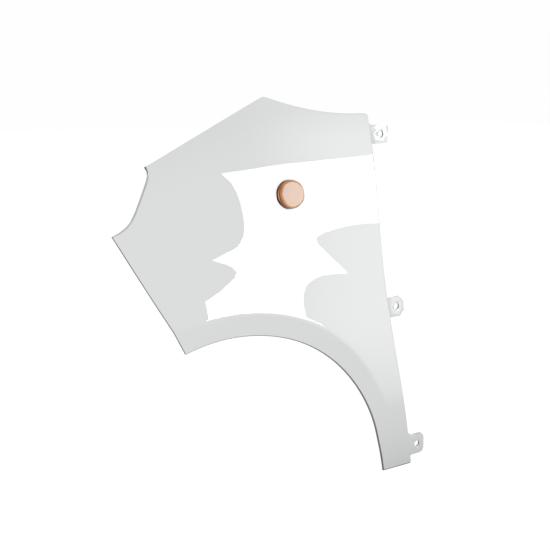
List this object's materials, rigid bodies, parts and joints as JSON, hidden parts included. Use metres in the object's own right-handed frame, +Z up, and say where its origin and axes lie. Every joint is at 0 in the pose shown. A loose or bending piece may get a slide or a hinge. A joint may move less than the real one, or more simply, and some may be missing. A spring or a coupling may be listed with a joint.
{
  "type": "car fender",
  "caption": "Left front fender of a small car, a moulded panel with a wheel arch, headlamp notch and bolt-on ears, carrying a round amber side repeater lamp.",
  "frame": {"origin": "on the inboard face of the middle ear, the seat against the door pillar, 13 mm below the centre of its hole", "axes": "+X towards the rear of the car, +Y inboard, +Z up"},
  "size_m": [0.6675, 0.1022, 0.7529],
  "materials": {
    "painted_plastic": "gloss",
    "black_rubber": "matte",
    "black_plastic": "satin",
    "amber_lens": "gloss",
    "bulb_glass": "gloss",
    "grey_plastic": "satin",
    "tin": "satin"
  },
  "bodies": {
    "root": {"fender_panel": "painted_plastic", "lamp_gasket": "black_rubber", "lamp_housing": "black_plastic", "lamp_lens": "amber_lens", "bulb": "bulb_glass", "bulb_holder": "grey_plastic", "terminal_1": "tin", "terminal_2": "tin"}
  },
  "joints": []
}
